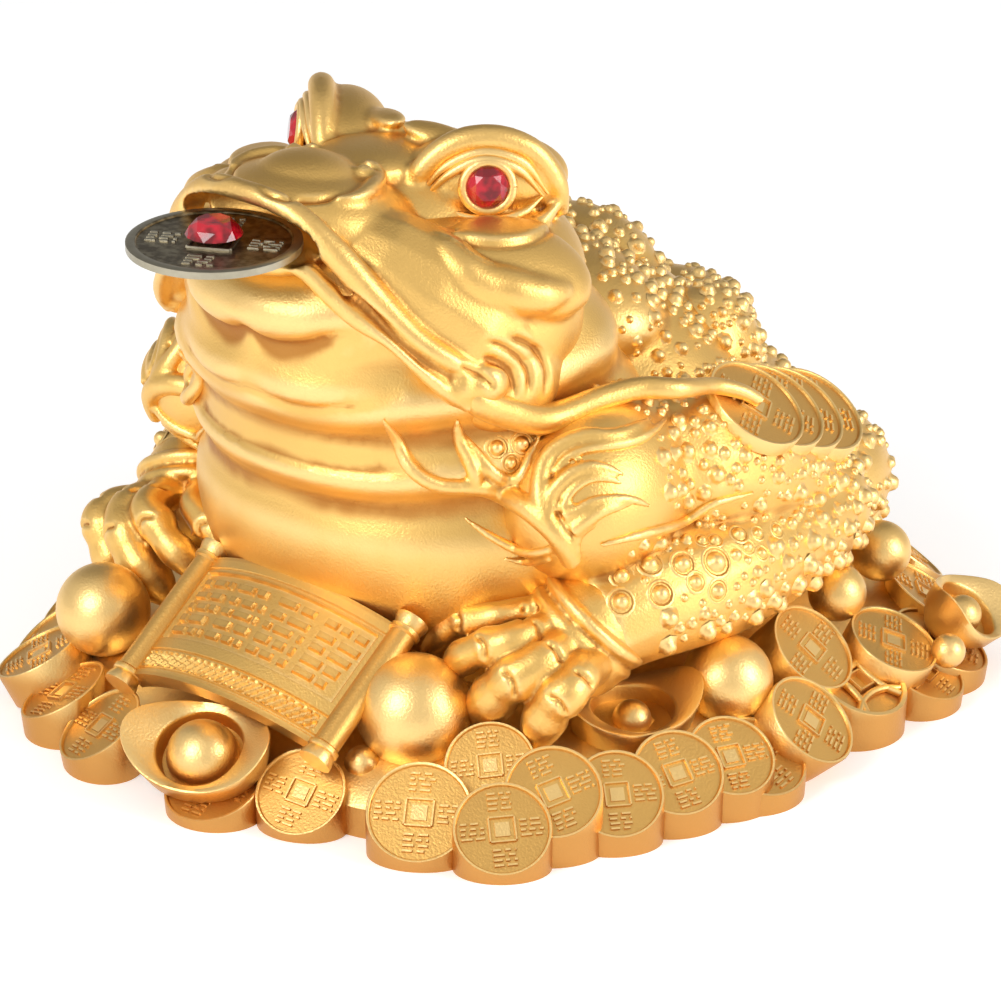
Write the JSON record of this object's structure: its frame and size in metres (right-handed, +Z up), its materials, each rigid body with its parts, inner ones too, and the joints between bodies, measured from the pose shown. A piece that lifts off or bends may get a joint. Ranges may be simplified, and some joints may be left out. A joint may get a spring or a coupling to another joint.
{
  "type": "money toad figure",
  "caption": "Gold cast figure of a wealth toad squatting on a heap of coins, pearls and ingots, with a scroll before its belly, a loose coin in its mouth and red stone eyes.",
  "frame": {"origin": "middle of the flat underside, below the middle of the whole figure's box", "axes": "+Z up, the toad looks along -Y, its left side is +X"},
  "size_m": [0.141, 0.155, 0.1021],
  "materials": {
    "gold_finish": "satin gold lacquer with brown in the hollows, on filled casting resin",
    "dark_bronze": "dark patina, worn bright on the raised strokes and rim",
    "red_stone": "polished facets, deep red"
  },
  "bodies": {
    "root": {"toad_figure": "gold_finish", "mouth_coin": "dark_bronze", "coin_stone": "red_stone", "eye_stone_left": "red_stone", "eye_stone_right": "red_stone"}
  },
  "joints": []
}
